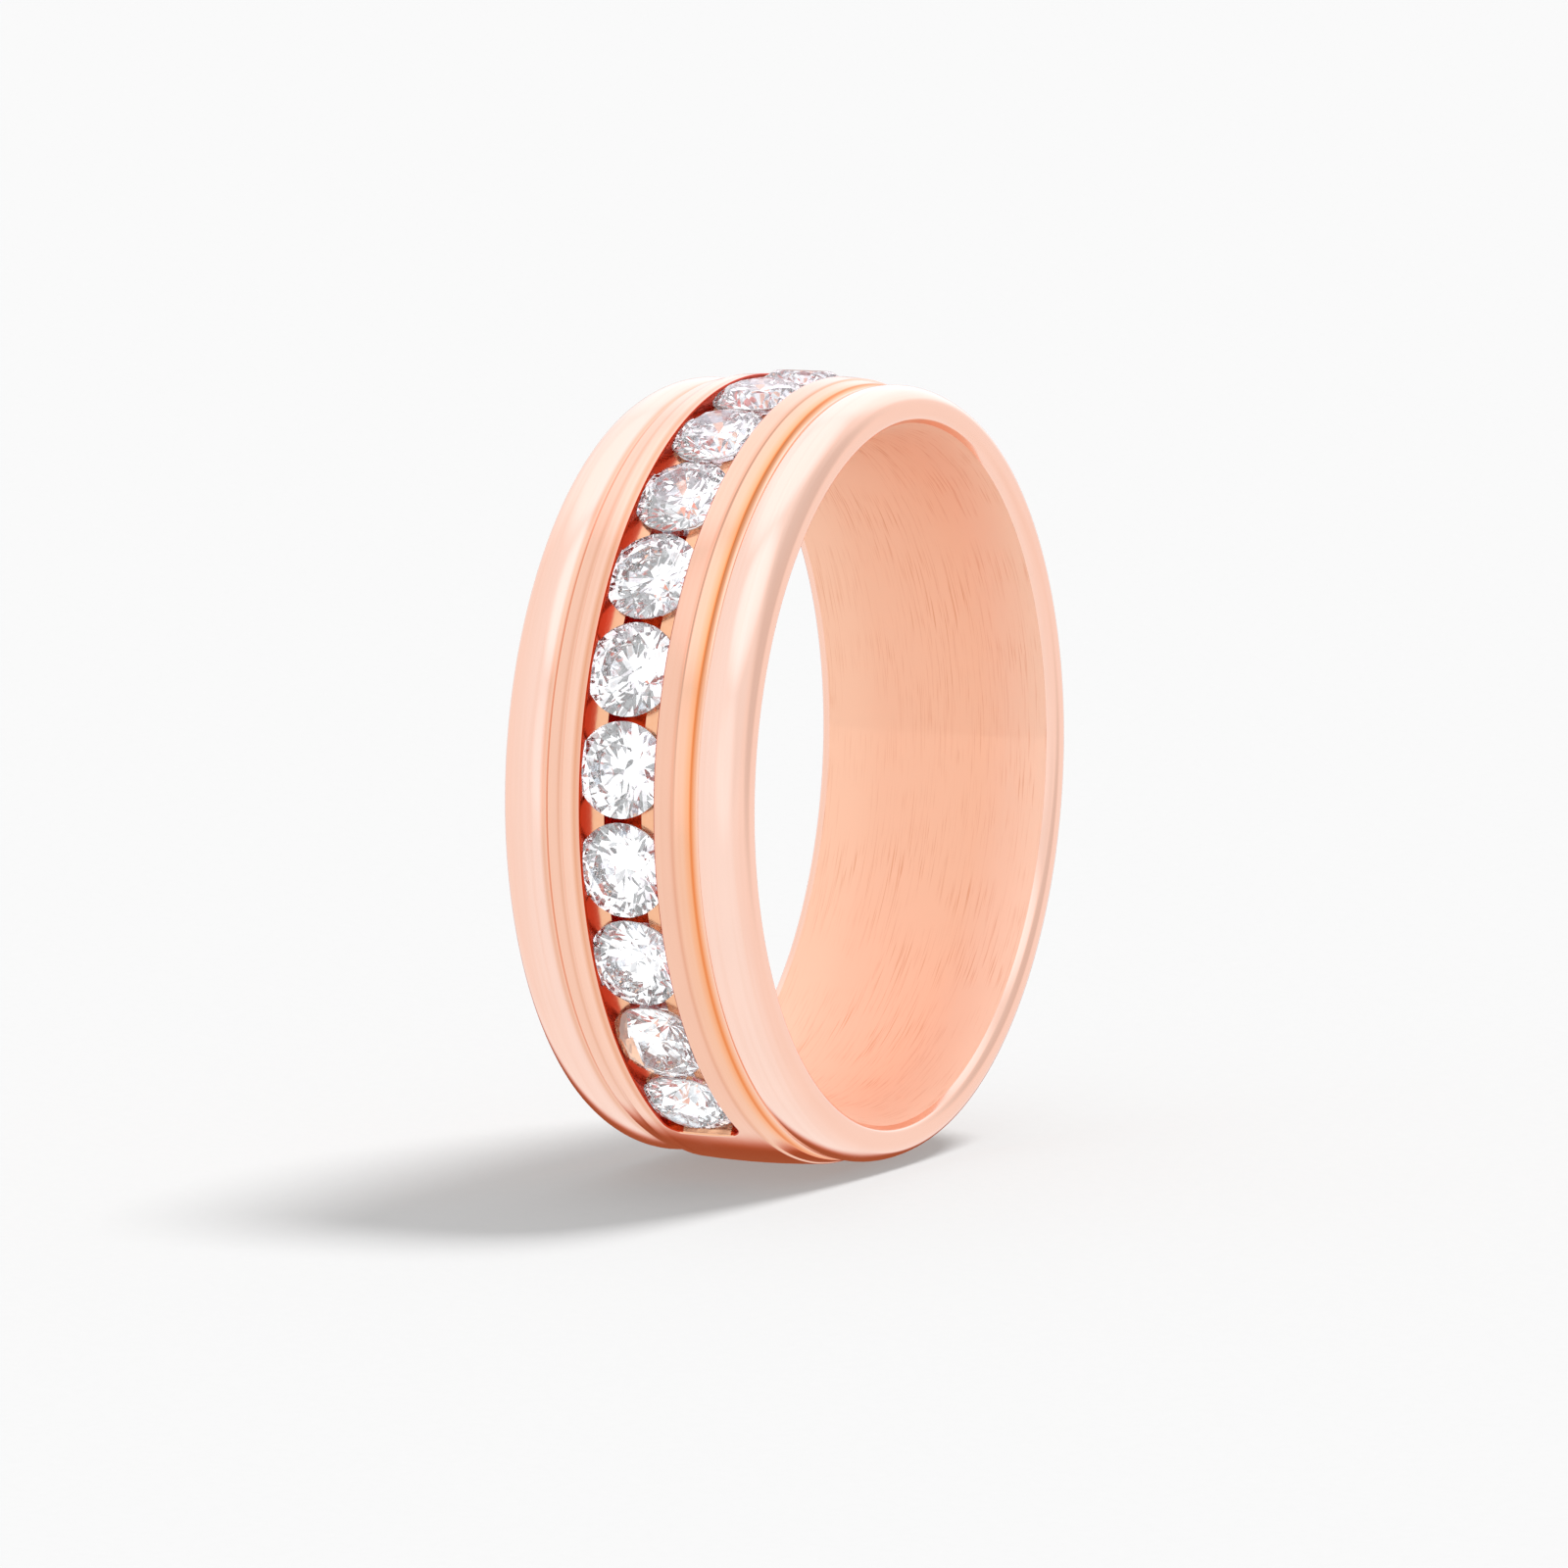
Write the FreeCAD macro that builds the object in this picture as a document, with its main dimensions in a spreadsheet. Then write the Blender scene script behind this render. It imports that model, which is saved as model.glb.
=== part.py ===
"""Channel-set wedding band: one gold band and a row of round brilliant diamonds.

Frame, in millimetres: the finger hole runs along X, +Z is up, the row of stones looks
towards -Y, and the origin is the middle of the finger hole. The band stands on its rim.
A place round the band is a turn angle: 0 degrees is the -Y side and 90 degrees is the top.
"""
import FreeCAD, Part
import math
import os

import Sketcher

V = FreeCAD.Vector

# Driving dimensions: alias in the sheet, value, meaning.
SIZES = [
    ("bore_radius", 9.90, "straight wall of the finger hole"),
    ("bore_flat_half", 1.60, "half length of that straight wall"),
    ("comfort_radius", 5.00, "curve that opens the hole towards its mouths"),
    ("mouth_radius", 0.25, "eased edge between the hole and the side face"),
    ("half_width", 3.91, "half of the band's width"),
    ("shoulder_radius", 0.40, "rounding between the side face and the rail"),
    ("dome_radius", 1.30, "crown of each side rail"),
    ("crest_offset", 2.95, "middle plane to the rail's crest"),
    ("crest_radius", 11.41, "bore axis to the rail's crest"),
    ("foot_offset", 2.44, "middle plane to the foot of the step"),
    ("cove_radius", 0.30, "hollow at the foot of the step"),
    ("step_offset", 2.28, "middle plane to the top edge of the step"),
    ("step_radius", 11.42, "bore axis to the top edge of the step"),
    ("ledge_offset", 1.81, "middle plane to the outside of the crease"),
    ("ledge_radius", 11.50, "bore axis to the outside of the crease"),
    ("lip_offset", 1.77, "middle plane to the inside of the crease"),
    ("lip_radius", 11.55, "bore axis to the inside of the crease"),
    ("crown_radius", 24.0, "curve of the raised centre across the band"),
    ("channel_half", 1.17, "half of the channel's width between its lips"),
    ("channel_floor", 11.17, "bore axis to the flat floor of the channel"),
    ("channel_end_gap", 0.10, "metal edge beyond the girdle of each end stone"),
    ("channel_corner", 0.50, "rounding of the channel's four corners"),
    ("slot_half", 0.60, "half width of the slot milled in the floor"),
    ("slot_floor", 10.45, "bore axis to the bottom of the slot"),
    ("azure_radius", 0.50, "light hole under each stone, open to the bore"),
    ("seat_clearance", 0.015, "gap between each stone and its cut seat"),
    ("stone_count", 12, "stones in the row"),
    ("stone_pitch", 14.8, "turn from one stone to the next, degrees"),
    ("row_middle", 28.1, "turn angle of the middle of the row, degrees"),
    ("stone_diameter", 2.81, "girdle diameter of each brilliant"),
    ("girdle_level", 11.34, "bore axis to the upper edge of the girdle"),
    ("crown_part", 0.130, "crown height over diameter"),
    ("girdle_part", 0.030, "girdle height over diameter"),
    ("pavilion_part", 0.430, "pavilion depth over diameter"),
    ("table_part", 0.57, "table width over diameter"),
    ("star_part", 0.50, "star facets' reach from table to girdle"),
    ("lower_half_part", 0.77, "lower half facets' reach from girdle to culet"),
]
FACET_FOLD = 8
STONE_SPIN = 137.5
WELL_OUTSIDE = 1.0


def make_sheet(doc):
    """Write the driving dimensions into a spreadsheet with an alias each."""
    sheet = doc.addObject("Spreadsheet::Sheet", "Sizes")
    for row, (alias, value, meaning) in enumerate(SIZES, start=1):
        sheet.set(f"A{row}", meaning)
        sheet.set(f"B{row}", str(value))
        sheet.setAlias(f"B{row}", alias)
    doc.recompute()
    return sheet


def origin_part(body, role):
    """The body's own origin plane or axis with this role."""
    return next(item for item in body.Origin.OriginFeatures if item.Role == role)


def new_sketch(body, name, turn=None):
    """A sketch on the body's XY plane; turn is an expression that swings it about X."""
    sketch = body.newObject("Sketcher::SketchObject", name)
    sketch.AttachmentSupport = [(origin_part(body, "XY_Plane"), "")]
    sketch.MapMode = "FlatFace"
    if turn:
        sketch.AttachmentOffset = FreeCAD.Placement(V(), FreeCAD.Rotation(V(1, 0, 0), 1))
        sketch.setExpression(".AttachmentOffset.Rotation.Angle", turn)
    return sketch


def bind(sketch, kind, where, value, expression):
    """Add a dimension to the sketch and drive it by a sheet expression."""
    index = sketch.addConstraint(Sketcher.Constraint(kind, *where, value))
    sketch.setExpression(f"Constraints[{index}]", expression)


def pin_point(sketch, end, point, x_rule, y_rule):
    """Hold one end point at coordinates given by two sheet expressions."""
    bind(sketch, "DistanceX", end, point[0], x_rule)
    bind(sketch, "DistanceY", end, point[1], y_rule)


def add_line(sketch, start, finish):
    """Draw a line and return the handles of its two ends."""
    index = sketch.addGeometry(Part.LineSegment(V(*start, 0), V(*finish, 0)), False)
    return (index, 1), (index, 2)


def add_arc(sketch, centre, start, finish):
    """Draw the shorter arc about centre and return the handles of its two ends."""
    first = math.atan2(start[1] - centre[1], start[0] - centre[0])
    last = math.atan2(finish[1] - centre[1], finish[0] - centre[0])
    radius = math.dist(centre, start)
    anticlockwise = (last - first) % (2 * math.pi) < math.pi
    low, high = (first, last) if anticlockwise else (last, first)
    circle = Part.Circle(V(*centre, 0), V(0, 0, 1), radius)
    index = sketch.addGeometry(Part.ArcOfCircle(circle, low, high), False)
    return ((index, 1), (index, 2)) if anticlockwise else ((index, 2), (index, 1))


def join(sketch, end, start, tangent=False):
    """Make two elements meet, smoothly if asked."""
    kind = "Tangent" if tangent else "Coincident"
    sketch.addConstraint(Sketcher.Constraint(kind, *end, *start))


def arc_centre(start, finish, radius, bulge):
    """Centre of an arc of this radius; bulge is +1 if it lies left of start to finish."""
    middle = ((start[0] + finish[0]) / 2, (start[1] + finish[1]) / 2)
    chord = math.dist(start, finish)
    rise = math.sqrt(radius ** 2 - (chord / 2) ** 2)
    across = ((start[1] - finish[1]) / chord, (finish[0] - start[0]) / chord)
    return middle[0] + bulge * rise * across[0], middle[1] + bulge * rise * across[1]


def along(centre, towards, radius):
    """The point at this radius from centre on the ray through towards."""
    reach = radius / math.dist(centre, towards)
    return (centre[0] + (towards[0] - centre[0]) * reach,
            centre[1] + (towards[1] - centre[1]) * reach)


def draw_band_half(sketch, size, side):
    """Draw one half of the band's section; side is 1 for +X and -1 for -X.

    Returns the handle at the bore's straight wall and the handle at the raised centre.
    """
    mouth_x = size.half_width - size.mouth_radius
    comfort = (size.bore_flat_half, size.bore_radius + size.comfort_radius)
    fall = math.sqrt((size.comfort_radius - size.mouth_radius) ** 2 - (mouth_x - comfort[0]) ** 2)
    mouth = (mouth_x, comfort[1] - fall)
    dome = (size.crest_offset, size.crest_radius - size.dome_radius)
    shoulder_x = size.half_width - size.shoulder_radius
    lift = math.sqrt((size.dome_radius - size.shoulder_radius) ** 2 - (shoulder_x - dome[0]) ** 2)
    shoulder = (shoulder_x, dome[1] + lift)
    foot_rise = math.sqrt(size.dome_radius ** 2 - (size.crest_offset - size.foot_offset) ** 2)
    wall = (size.bore_flat_half, size.bore_radius)
    mouth_in = along(comfort, mouth, size.comfort_radius)
    mouth_out = (size.half_width, mouth[1])
    face_top = (size.half_width, shoulder[1])
    rail_out = along(dome, shoulder, size.dome_radius)
    foot = (size.foot_offset, dome[1] + foot_rise)
    step = (size.step_offset, size.step_radius)
    cove = arc_centre(foot, step, size.cove_radius, -1)
    ledge = (size.ledge_offset, size.ledge_radius)
    lip = (size.lip_offset, size.lip_radius)

    def mirrored(point):
        return side * point[0], point[1]

    def arc(centre, start, finish):
        return add_arc(sketch, mirrored(centre), mirrored(start), mirrored(finish))

    def line(start, finish):
        return add_line(sketch, mirrored(start), mirrored(finish))

    comfort_arc = arc(comfort, wall, mouth_in)
    mouth_arc = arc(mouth, mouth_in, mouth_out)
    face = line(mouth_out, face_top)
    shoulder_arc = arc(shoulder, face_top, rail_out)
    dome_arc = arc(dome, rail_out, foot)
    cove_arc = arc(cove, foot, step)
    ledge_line = line(step, ledge)
    crease = line(ledge, lip)

    join(sketch, comfort_arc[1], mouth_arc[0], tangent=True)
    join(sketch, mouth_arc[1], face[0], tangent=True)
    join(sketch, face[1], shoulder_arc[0], tangent=True)
    join(sketch, shoulder_arc[1], dome_arc[0], tangent=True)
    join(sketch, dome_arc[1], cove_arc[0])
    join(sketch, cove_arc[1], ledge_line[0])
    join(sketch, ledge_line[1], crease[0])
    sketch.addConstraint(Sketcher.Constraint("Vertical", face[0][0]))

    sign = "" if side > 0 else "-"
    for element, value, alias in (
            (comfort_arc, size.comfort_radius, "comfort_radius"),
            (mouth_arc, size.mouth_radius, "mouth_radius"),
            (shoulder_arc, size.shoulder_radius, "shoulder_radius"),
            (dome_arc, size.dome_radius, "dome_radius"),
            (cove_arc, size.cove_radius, "cove_radius")):
        bind(sketch, "Radius", (element[0][0],), value, f"Sizes.{alias}")
    bind(sketch, "DistanceX", face[0], side * size.half_width, f"{sign}Sizes.half_width")
    bind(sketch, "DistanceX", dome_arc[1], side * size.foot_offset, f"{sign}Sizes.foot_offset")
    pin_point(sketch, (dome_arc[0][0], 3), mirrored(dome),
              f"{sign}Sizes.crest_offset", "Sizes.crest_radius - Sizes.dome_radius")
    for end, point, name in ((cove_arc[1], step, "step"), (crease[0], ledge, "ledge"),
                             (crease[1], lip, "lip")):
        pin_point(sketch, end, mirrored(point), f"{sign}Sizes.{name}_offset", f"Sizes.{name}_radius")
    return comfort_arc[0], crease[1]


def add_band_blank(body, size):
    """Turn the band's section round the X axis into a plain ring."""
    sketch = new_sketch(body, "BandSection")
    wall = (size.bore_flat_half, size.bore_radius)
    lip = (size.lip_offset, size.lip_radius)
    wall_ends = add_line(sketch, (-wall[0], wall[1]), wall)
    centre = (0, lip[1] - math.sqrt(size.crown_radius ** 2 - lip[0] ** 2))
    crown_ends = add_arc(sketch, centre, (-lip[0], lip[1]), lip)
    for side, wall_end, crown_end in ((-1, wall_ends[0], crown_ends[0]),
                                      (1, wall_ends[1], crown_ends[1])):
        bore_start, lip_end = draw_band_half(sketch, size, side)
        join(sketch, wall_end, bore_start, tangent=True)
        join(sketch, lip_end, crown_end)
        sign = "" if side > 0 else "-"
        pin_point(sketch, wall_end, (side * wall[0], wall[1]),
                  f"{sign}Sizes.bore_flat_half", "Sizes.bore_radius")
    bind(sketch, "Radius", (crown_ends[0][0],), size.crown_radius, "Sizes.crown_radius")
    blank = body.newObject("PartDesign::Revolution", "BandBlank")
    blank.Profile = sketch
    blank.ReferenceAxis = (origin_part(body, "X_Axis"), [""])
    blank.Angle = 360
    return blank


def add_row_groove(body, name, floor_alias, half_alias, sweep_rule, size):
    """Mill a square-sided groove along the row, from its floor out past the rim."""
    half = getattr(size, half_alias)
    floor = getattr(size, floor_alias)
    outside = size.lip_radius + WELL_OUTSIDE
    sketch = new_sketch(body, name + "Section", "180 - Sizes.row_middle")
    corners = [(-half, floor), (half, floor), (half, outside), (-half, outside)]
    sides = [add_line(sketch, start, finish) for start, finish in zip(corners, corners[1:] + corners[:1])]
    for here, following in zip(sides, sides[1:] + sides[:1]):
        join(sketch, here[1], following[0])
    outer_rule = f"Sizes.lip_radius + {WELL_OUTSIDE}"
    pin_point(sketch, sides[0][0], corners[0], f"-Sizes.{half_alias}", f"Sizes.{floor_alias}")
    pin_point(sketch, sides[0][1], corners[1], f"Sizes.{half_alias}", f"Sizes.{floor_alias}")
    pin_point(sketch, sides[2][0], corners[2], f"Sizes.{half_alias}", outer_rule)
    pin_point(sketch, sides[2][1], corners[3], f"-Sizes.{half_alias}", outer_rule)
    groove = body.newObject("PartDesign::Groove", name)
    groove.Profile = sketch
    groove.ReferenceAxis = (origin_part(body, "X_Axis"), [""])
    groove.Midplane = True
    groove.setExpression("Angle", sweep_rule)
    return groove


def round_channel_ends(body, channel, size):
    """Round the four upright corners of the channel with a fillet."""
    corners = []
    for index, edge in enumerate(channel.Shape.Edges, start=1):
        if len(edge.Vertexes) != 2 or not isinstance(edge.Curve, Part.Line):
            continue
        start, finish = (vertex.Point for vertex in edge.Vertexes)
        at_wall = abs(abs(start.x) - size.channel_half) < 1e-4 and abs(start.x - finish.x) < 1e-4
        if at_wall and abs(math.hypot(start.y, start.z) - math.hypot(finish.y, finish.z)) > 0.1:
            corners.append(f"Edge{index}")
    fillet = body.newObject("PartDesign::Fillet", "ChannelCorners")
    fillet.Base = (channel, corners)
    fillet.setExpression("Radius", "Sizes.channel_corner")
    return fillet


def seat_outline(size):
    """Half outline of one stone's seat as (sheet rule, value) pairs for across and out.

    From the bore outwards: the round light hole, a cone under the pavilion, a short wall
    round the girdle, and a cone over the crown that undercuts the channel's lips.
    """
    gap = size.seat_clearance
    radius = size.stone_diameter / 2
    wide = radius + gap
    girdle_low = size.girdle_level - size.girdle_part * size.stone_diameter
    culet = girdle_low - size.pavilion_part * size.stone_diameter
    cone_start = culet + (size.azure_radius / radius) * (girdle_low - culet) - gap
    table = size.table_part * radius + gap
    top = size.girdle_level + size.crown_part * size.stone_diameter + gap
    inside = size.bore_radius - WELL_OUTSIDE
    low_rule = "Sizes.girdle_level - Sizes.girdle_part * Sizes.stone_diameter"
    culet_rule = f"{low_rule} - Sizes.pavilion_part * Sizes.stone_diameter"
    cone_rule = (f"{culet_rule} + 2 * Sizes.azure_radius * Sizes.pavilion_part"
                 " - Sizes.seat_clearance")
    wide_rule = "Sizes.stone_diameter / 2 + Sizes.seat_clearance"
    inside_rule = f"Sizes.bore_radius - {WELL_OUTSIDE}"
    top_rule = ("Sizes.girdle_level + Sizes.crown_part * Sizes.stone_diameter"
                " + Sizes.seat_clearance")
    return [
        (("0", 0.0), (inside_rule, inside)),
        (("Sizes.azure_radius", size.azure_radius), (inside_rule, inside)),
        (("Sizes.azure_radius", size.azure_radius), (cone_rule, cone_start)),
        ((wide_rule, wide), (f"{low_rule} - Sizes.seat_clearance", girdle_low - gap)),
        ((wide_rule, wide), ("Sizes.girdle_level + Sizes.seat_clearance", size.girdle_level + gap)),
        (("Sizes.table_part * Sizes.stone_diameter / 2 + Sizes.seat_clearance", table),
         (top_rule, top)),
        (("0", 0.0), (top_rule, top)),
    ]


def add_seats(body, size):
    """Cut the seat of the last stone, then repeat it along the row."""
    first_turn = "180 - Sizes.row_middle - (Sizes.stone_count - 1) * Sizes.stone_pitch / 2"
    sketch = new_sketch(body, "SeatSection", first_turn)
    outline = seat_outline(size)
    points = [(across[1], out[1]) for across, out in outline]
    sides = [add_line(sketch, start, finish) for start, finish in zip(points, points[1:] + points[:1])]
    for here, following in zip(sides, sides[1:] + sides[:1]):
        join(sketch, here[1], following[0])
    for handles, (across, out) in zip(sides, outline):
        pin_point(sketch, handles[0], (across[1], out[1]), across[0], out[0])
    seat = body.newObject("PartDesign::Groove", "Seat")
    seat.Profile = sketch
    seat.ReferenceAxis = (sketch, ["V_Axis"])
    seat.Angle = 360
    pattern = body.newObject("PartDesign::PolarPattern", "SeatRow")
    pattern.Originals = [seat]
    pattern.Axis = (origin_part(body, "X_Axis"), [""])
    pattern.setExpression("Angle", "(Sizes.stone_count - 1) * Sizes.stone_pitch")
    pattern.setExpression("Occurrences", "Sizes.stone_count")
    body.Tip = pattern
    return pattern


def make_band(doc, size):
    """The gold band: turned section, milled channel and slot, and cut seats."""
    body = doc.addObject("PartDesign::Body", "Band")
    body.Label = "band"
    row = "(Sizes.stone_count - 1) * Sizes.stone_pitch"
    end_reach = "2 * asin((Sizes.stone_diameter / 2 + Sizes.channel_end_gap) / Sizes.girdle_level)"
    blank = add_band_blank(body, size)
    doc.recompute()
    channel = add_row_groove(body, "Channel", "channel_floor", "channel_half",
                             f"{row} * 1 deg + {end_reach}", size)
    doc.recompute()
    rounded = round_channel_ends(body, channel, size)
    doc.recompute()
    slot = add_row_groove(body, "Slot", "slot_floor", "slot_half", row, size)
    doc.recompute()
    seats = add_seats(body, size)
    doc.recompute()
    for before, after in ((blank, channel), (rounded, slot), (slot, seats)):
        cut = before.Shape.Volume - after.Shape.Volume
        print(f"{after.Label} removes {cut:.2f} mm3")
        if cut <= 0:
            raise RuntimeError(f"{after.Label} removed nothing")
    return body


def brilliant_solid(size):
    """A round brilliant, table up, with its upper girdle edge on the XY plane.

    Eight-fold: 1 table, 8 star, 8 bezel, 16 upper girdle, 16 girdle, 16 lower half and
    8 pavilion main facets. A bezel or main facet's plane stands square to its own radius,
    so its height falls in proportion to the distance along that radius.
    """
    radius = size.stone_diameter / 2
    crown = size.crown_part * size.stone_diameter
    girdle = size.girdle_part * size.stone_diameter
    pavilion = size.pavilion_part * size.stone_diameter
    table = size.table_part * radius
    half_step = math.pi / FACET_FOLD
    star_r = table * math.cos(half_step) + size.star_part * (radius - table) * math.cos(half_step)
    star_z = crown * (radius - star_r * math.cos(half_step)) / (radius - table)
    half_r = (1 - size.lower_half_part) * radius
    half_z = -girdle - pavilion * (1 - half_r * math.cos(half_step) / radius)

    def ring(r, z, offset, count=FACET_FOLD):
        turns = (offset + 2 * math.pi * step / count for step in range(count))
        return [V(r * math.cos(turn), r * math.sin(turn), z) for turn in turns]

    table_ring = ring(table, crown, 0)
    star_ring = ring(star_r, star_z, half_step)
    upper = ring(radius, 0, 0, 2 * FACET_FOLD)
    lower = ring(radius, -girdle, 0, 2 * FACET_FOLD)
    half_ring = ring(half_r, half_z, half_step)
    culet = V(0, 0, -girdle - pavilion)
    facets = [table_ring]
    for here in range(FACET_FOLD):
        after = (here + 1) % FACET_FOLD
        corner, middle, corner_next = 2 * here, 2 * here + 1, 2 * after
        facets += [
            [table_ring[here], star_ring[here], table_ring[after]],
            [table_ring[here], star_ring[here - 1], upper[corner], star_ring[here]],
            [star_ring[here], upper[corner], upper[middle]],
            [star_ring[here], upper[middle], upper[corner_next]],
            [upper[corner], lower[corner], lower[middle], upper[middle]],
            [upper[middle], lower[middle], lower[corner_next], upper[corner_next]],
            [half_ring[here], lower[middle], lower[corner]],
            [half_ring[here], lower[corner_next], lower[middle]],
            [culet, half_ring[here], lower[corner], half_ring[here - 1]],
        ]
    faces = [Part.Face(Part.makePolygon(corners + corners[:1])) for corners in facets]
    solid = Part.makeSolid(Part.makeShell(faces))
    solid.fix(1e-6, 1e-6, 1e-6)
    return solid


def make_diamonds(doc, size):
    """The row of stones, numbered from its lower end, each turned in its seat a little."""
    stones = []
    lowest = size.row_middle - (size.stone_count - 1) * size.stone_pitch / 2
    for number in range(int(size.stone_count)):
        turn = lowest + number * size.stone_pitch
        outwards = V(0, -math.cos(math.radians(turn)), math.sin(math.radians(turn)))
        stone = doc.addObject("Part::Feature", f"Diamond{number + 1:02d}")
        stone.Label = f"diamond_{number + 1:02d}"
        stone.Shape = brilliant_solid(size)
        lean = FreeCAD.Rotation(V(1, 0, 0), 90 - turn)
        spin = FreeCAD.Rotation(V(0, 0, 1), STONE_SPIN * number)
        stone.Placement = FreeCAD.Placement(outwards * size.girdle_level, lean * spin)
        stones.append(stone)
    return stones


def check_and_write(doc, pieces):
    """Stop on any failed object or bad shape, then write each piece's STEP file."""
    for item in doc.Objects:
        if {"Invalid", "Error"} & set(item.State):
            raise RuntimeError(f"{item.Name} failed: {item.State}")
    os.makedirs("parts", exist_ok=True)
    for piece in pieces:
        shape = piece.Shape
        if shape.isNull() or not shape.isValid() or len(shape.Solids) != 1:
            raise RuntimeError(f"{piece.Label} is not one valid solid")
    for piece in pieces:
        piece.Shape.exportStep(f"parts/{piece.Label}.step")
        print(f"{piece.Label}: {piece.Shape.Volume:.3f} mm3")


def main():
    """Build the band and its stones and write one STEP file for each."""
    doc = FreeCAD.newDocument("WeddingBand")
    size = make_sheet(doc)
    pieces = [make_band(doc, size)] + make_diamonds(doc, size)
    doc.recompute()
    check_and_write(doc, pieces)


main()
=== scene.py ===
"""A channel-set wedding band in rose gold with its row of round brilliant diamonds.

Frame, in metres: the finger hole runs along X, +Z is up, the row of stones looks towards
-Y and the origin is the middle of the finger hole. A place round the band is a turn
angle: 0 is the -Y side and a quarter turn is the top. Class fields are in millimetres.
"""

import logging
import math
from collections.abc import Sequence
from dataclasses import dataclass, field
from enum import Enum

import bmesh
import bpy
import numpy as np
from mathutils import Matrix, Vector


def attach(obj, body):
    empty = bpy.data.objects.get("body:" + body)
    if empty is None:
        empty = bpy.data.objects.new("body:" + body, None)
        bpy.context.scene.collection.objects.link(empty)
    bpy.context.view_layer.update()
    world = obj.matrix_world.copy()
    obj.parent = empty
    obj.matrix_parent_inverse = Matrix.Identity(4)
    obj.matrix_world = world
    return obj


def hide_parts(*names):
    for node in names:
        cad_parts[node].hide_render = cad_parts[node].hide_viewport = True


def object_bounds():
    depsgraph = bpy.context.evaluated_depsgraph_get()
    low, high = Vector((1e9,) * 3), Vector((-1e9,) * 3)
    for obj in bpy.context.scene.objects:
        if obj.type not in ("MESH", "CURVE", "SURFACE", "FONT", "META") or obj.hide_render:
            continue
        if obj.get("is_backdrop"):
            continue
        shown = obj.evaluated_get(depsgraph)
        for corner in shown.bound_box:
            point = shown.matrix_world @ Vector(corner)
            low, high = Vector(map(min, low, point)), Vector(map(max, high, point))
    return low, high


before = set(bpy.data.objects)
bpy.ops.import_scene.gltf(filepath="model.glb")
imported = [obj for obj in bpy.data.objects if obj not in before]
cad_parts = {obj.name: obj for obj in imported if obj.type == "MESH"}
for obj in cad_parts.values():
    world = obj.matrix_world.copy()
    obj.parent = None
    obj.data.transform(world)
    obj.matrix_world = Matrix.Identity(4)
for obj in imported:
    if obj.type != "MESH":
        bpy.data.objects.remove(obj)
CAD_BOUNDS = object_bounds()

MM = 0.001
ROOT = "root"
MERGE = 0.0001 * MM
log = logging.getLogger("wedding_band")


class Zone(Enum):
    """The finishes of the band, each by its place in the band's material slots."""

    POLISHED = 0
    BORE = 1
    WALL = 2
    FLOOR = 3
    SEAT = 4


class Facet(Enum):
    """The finishes of a stone, each by its place in the stone's material slots."""

    POLISHED = 0
    GIRDLE = 1


# ---------------------------------------------------------------- meshes

def grid_faces(rows: int, columns: int, wrap_rows: bool, wrap_columns: bool) -> np.ndarray:
    """Quads of a grid of points numbered row by row.

    Args:
        rows: number of rows of points.
        columns: number of points in a row.
        wrap_rows: whether the last row is joined to the first.
        wrap_columns: whether each row's last point is joined to its first.

    Returns:
        One row of four point numbers for each quad.
    """
    row = np.arange(rows if wrap_rows else rows - 1)[:, None]
    column = np.arange(columns if wrap_columns else columns - 1)[None, :]
    next_row = (row + 1) % rows
    next_column = (column + 1) % columns
    corners = (row * columns + column, row * columns + next_column,
               next_row * columns + next_column, next_row * columns + column)
    return np.stack(corners, axis=-1).reshape(-1, 4)


def closed_solid(name: str, points: np.ndarray, faces: Sequence[Sequence[int]]) -> bpy.types.Object:
    """Make a closed mesh whose faces point outwards.

    Args:
        name: name of the object and its mesh.
        points: corners in millimetres, one a row.
        faces: corner numbers of each face; pinched ends are merged and flat faces dropped.

    Returns:
        The new object, linked to the scene.
    """
    mesh = bpy.data.meshes.new(name)
    mesh.from_pydata((points.reshape(-1, 3) * MM).tolist(), [], [list(face) for face in faces])
    shell = bmesh.new()
    shell.from_mesh(mesh)
    bmesh.ops.remove_doubles(shell, verts=shell.verts, dist=MERGE)
    bmesh.ops.recalc_face_normals(shell, faces=shell.faces)
    shell.to_mesh(mesh)
    shell.free()
    thing = bpy.data.objects.new(name, mesh)
    bpy.context.scene.collection.objects.link(thing)
    return thing


def face_middles(mesh: bpy.types.Mesh) -> np.ndarray:
    """Find the middle of every face.

    Args:
        mesh: the mesh.

    Returns:
        The middles in millimetres, one a row.
    """
    middles = np.empty(len(mesh.polygons) * 3, np.float32)
    mesh.polygons.foreach_get("center", middles)
    return middles.reshape(-1, 3) / MM


def set_zones(mesh: bpy.types.Mesh, zones: np.ndarray) -> None:
    """Give every face the material slot of its zone."""
    mesh.polygons.foreach_set("material_index", zones.astype(np.int32))


def round_the_bore(across: np.ndarray, radius: np.ndarray, turn: np.ndarray) -> np.ndarray:
    """Points at a place across the band, a radius and a turn angle.

    Formula: x is the place across, y is minus the radius times the turn's cosine, and z
    is the radius times the turn's sine.

    Args:
        across: places along the finger hole's axis.
        radius: distances from that axis.
        turn: turn angles in radians.

    Returns:
        The points, in an array with one more axis than the inputs have together.
    """
    across, radius, turn = np.broadcast_arrays(across, radius, turn)
    return np.stack([across, -radius * np.cos(turn), radius * np.sin(turn)], axis=-1)


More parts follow.
